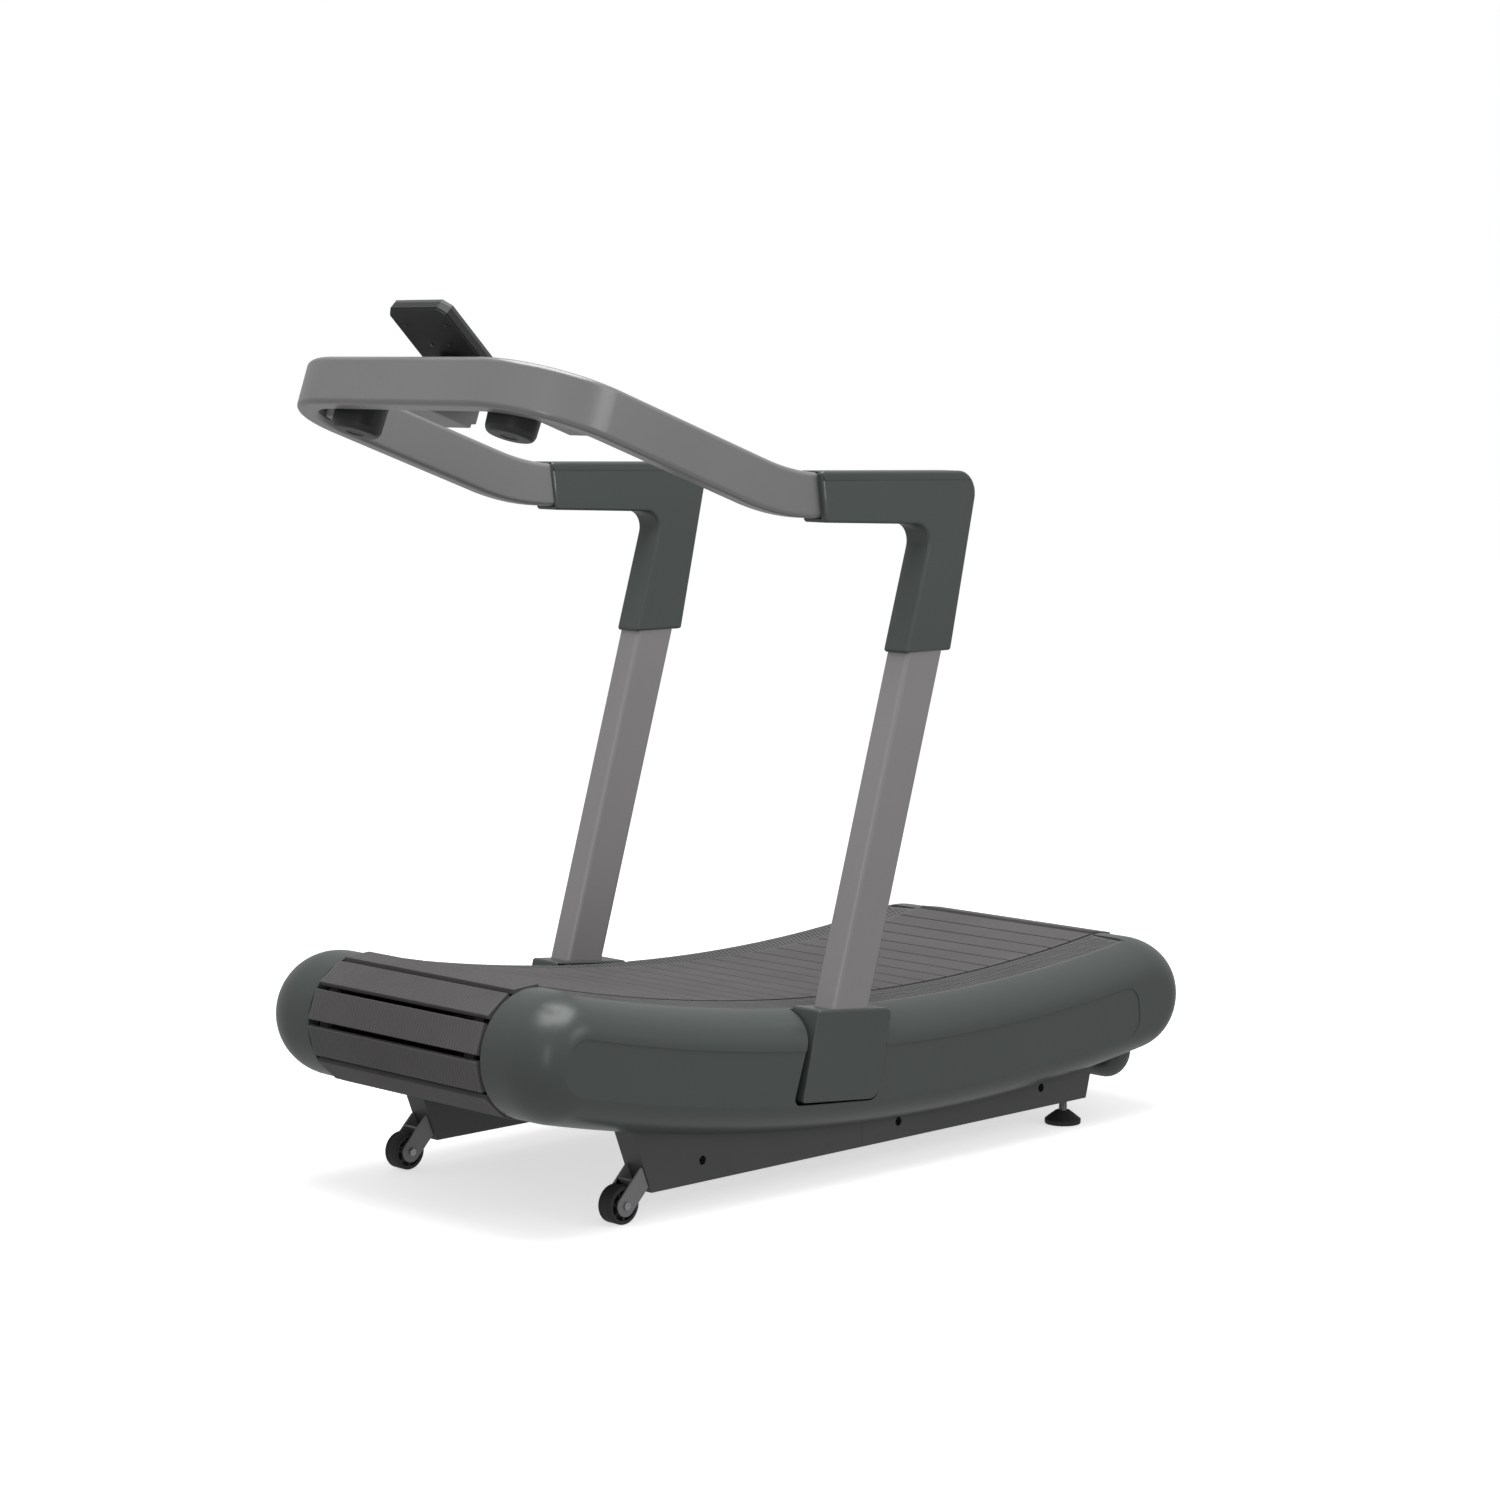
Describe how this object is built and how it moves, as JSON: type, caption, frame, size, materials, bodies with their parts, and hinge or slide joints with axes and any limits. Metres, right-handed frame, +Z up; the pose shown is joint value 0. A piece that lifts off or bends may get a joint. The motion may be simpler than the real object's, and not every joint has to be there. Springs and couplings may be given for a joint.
{
  "type": "curved manual treadmill",
  "caption": "Curved slat-belt treadmill driven by the runner, with side covers, uprights, a looped handrail, console, cup holders, transport wheels and levelling feet.",
  "frame": {"origin": "on the floor, under the middle of the machine's bounding box", "axes": "+X to the right as seen from the console end looking towards the rear, so right_ nodes are on +X; -Y towards the console end, +Y towards the rear; +Z up"},
  "size_m": [0.81, 1.7811, 1.6435],
  "materials": {
    "slat_rubber": "ribbed matt rubber bonded to the slat",
    "belt_rubber": "matt",
    "bright_steel": "ground",
    "pulley_metal": "black anodised",
    "bearing_housing": "painted",
    "frame_steel": "fine-textured dark powder coat",
    "bolt_black": "black oxide",
    "cover_plastic": "satin moulded, dark grey-green",
    "strip_plastic": "grip blocks in relief",
    "upright_paint": "satin silver-grey",
    "bar_paint": "satin grey paint",
    "tray_paint": "satin",
    "cup_plastic": "satin",
    "console_shell": "fine texture",
    "console_rim": "satin",
    "display_lens": "dark gloss",
    "screw_steel": "plated",
    "key_grey": "satin",
    "key_green": "satin",
    "key_red": "satin",
    "fork_paint": "satin grey",
    "wheel_rubber": "matt",
    "wheel_core": "moulded",
    "pad_rubber": "matt",
    "handle_paint": "satin grip finish"
  },
  "bodies": {
    "frame": {"left_guide_bearings": "bright_steel", "right_guide_bearings": "bright_steel", "guide_bearing_studs": "bright_steel", "wheel_axles": "bright_steel", "foot_nuts": "bright_steel", "drum_bearing_units": "bearing_housing", "left_side_plate": "frame_steel", "right_side_plate": "frame_steel", "cross_members": "frame_steel", "left_front_rail": "frame_steel", "left_rear_rail": "frame_steel", "right_front_rail": "frame_steel", "right_rear_rail": "frame_steel", "upright_brackets": "frame_steel", "rail_bolts": "bolt_black", "left_side_cover": "cover_plastic", "right_side_cover": "cover_plastic", "left_foot_cover": "cover_plastic", "right_foot_cover": "cover_plastic", "left_handle_cover": "cover_plastic", "right_handle_cover": "cover_plastic", "left_tread_strip": "strip_plastic", "right_tread_strip": "strip_plastic", "left_upright": "upright_paint", "right_upright": "upright_paint", "handlebar": "bar_paint", "accessory_tray": "tray_paint", "console_mount": "tray_paint", "left_cup_holder": "cup_plastic", "right_cup_holder": "cup_plastic", "console_back": "console_shell", "console_face": "console_rim", "console_display": "display_lens", "console_screws": "screw_steel", "left_wheel_fork": "fork_paint", "right_wheel_fork": "fork_paint", "rear_handle": "handle_paint"},
    "top_run": {"top_slats": "slat_rubber", "top_belts": "belt_rubber"},
    "rear_wrap": {"rear_wrap_slats": "slat_rubber", "rear_wrap_belts": "belt_rubber"},
    "bottom_run": {"bottom_slats": "slat_rubber", "bottom_belts": "belt_rubber"},
    "front_wrap": {"front_wrap_slats": "slat_rubber", "front_wrap_belts": "belt_rubber"},
    "front_drum": {"front_shaft": "bright_steel", "front_pulleys": "pulley_metal"},
    "rear_drum": {"rear_shaft": "bright_steel", "rear_pulleys": "pulley_metal"},
    "left_wheel": {"left_wheel_tyre": "wheel_rubber", "left_wheel_hub": "wheel_core"},
    "right_wheel": {"right_wheel_tyre": "wheel_rubber", "right_wheel_hub": "wheel_core"},
    "left_foot": {"left_foot_stem": "bright_steel", "left_foot_pad": "pad_rubber"},
    "right_foot": {"right_foot_stem": "bright_steel", "right_foot_pad": "pad_rubber"},
    "mode_key": {"mode_button": "key_grey"},
    "start_key": {"start_button": "key_green"},
    "stop_key": {"stop_button": "key_red"}
  },
  "joints": [
    {"name": "belt_top_run", "type": "hinge", "parent": "frame", "child": "top_run", "pos_m": [0, 0.20302, 4.326], "axis": [1, 0, 0], "range_deg": [-0.4476, 0.4476]},
    {"name": "belt_rear_wrap", "type": "hinge", "parent": "frame", "child": "rear_wrap", "pos_m": [0, 0.76715, 0.24481], "axis": [1, 0, 0], "range_deg": [-16.8, 16.8]},
    {"name": "belt_bottom_run", "type": "hinge", "parent": "frame", "child": "bottom_run", "pos_m": [0, 0.20302, 4.326], "axis": [1, 0, 0], "range_deg": [-0.426, 0.426]},
    {"name": "belt_front_wrap", "type": "hinge", "parent": "frame", "child": "front_wrap", "pos_m": [0, -0.76716, 0.32186], "axis": [1, 0, 0], "range_deg": [-16.8, 16.8]},
    {"name": "front_drum_spin", "type": "hinge", "parent": "frame", "child": "front_drum", "pos_m": [0, -0.76716, 0.32186], "axis": [1, 0, 0], "continuous": true},
    {"name": "rear_drum_spin", "type": "hinge", "parent": "frame", "child": "rear_drum", "pos_m": [0, 0.76715, 0.24481], "axis": [1, 0, 0], "continuous": true},
    {"name": "left_wheel_spin", "type": "hinge", "parent": "frame", "child": "left_wheel", "pos_m": [-0.3049, -0.61498, 0.0353], "axis": [1, 0, 0], "continuous": true},
    {"name": "right_wheel_spin", "type": "hinge", "parent": "frame", "child": "right_wheel", "pos_m": [0.3049, -0.61498, 0.0353], "axis": [1, 0, 0], "continuous": true},
    {"name": "left_foot_level", "type": "slide", "parent": "frame", "child": "left_foot", "axis": [0, 0, 1], "range_m": [-0.02, 0.02]},
    {"name": "right_foot_level", "type": "slide", "parent": "frame", "child": "right_foot", "axis": [0, 0, 1], "range_m": [-0.02, 0.02]},
    {"name": "mode_press", "type": "slide", "parent": "frame", "child": "mode_key", "axis": [0, -0.7071, -0.7071], "range_m": [0, 0.0012], "stiffness_N_per_m": 500},
    {"name": "start_press", "type": "slide", "parent": "frame", "child": "start_key", "axis": [0, -0.7071, -0.7071], "range_m": [0, 0.0012], "stiffness_N_per_m": 500},
    {"name": "stop_press", "type": "slide", "parent": "frame", "child": "stop_key", "axis": [0, -0.7071, -0.7071], "range_m": [0, 0.0012], "stiffness_N_per_m": 500}
  ],
  "couplings": [
    {"joint": "belt_rear_wrap", "follows": "belt_top_run", "ratio": -37.505},
    {"joint": "belt_front_wrap", "follows": "belt_top_run", "ratio": -37.505},
    {"joint": "belt_bottom_run", "follows": "belt_top_run", "ratio": -0.94937},
    {"joint": "front_drum_spin", "follows": "belt_top_run", "ratio": -37.505},
    {"joint": "rear_drum_spin", "follows": "belt_top_run", "ratio": -37.505}
  ]
}
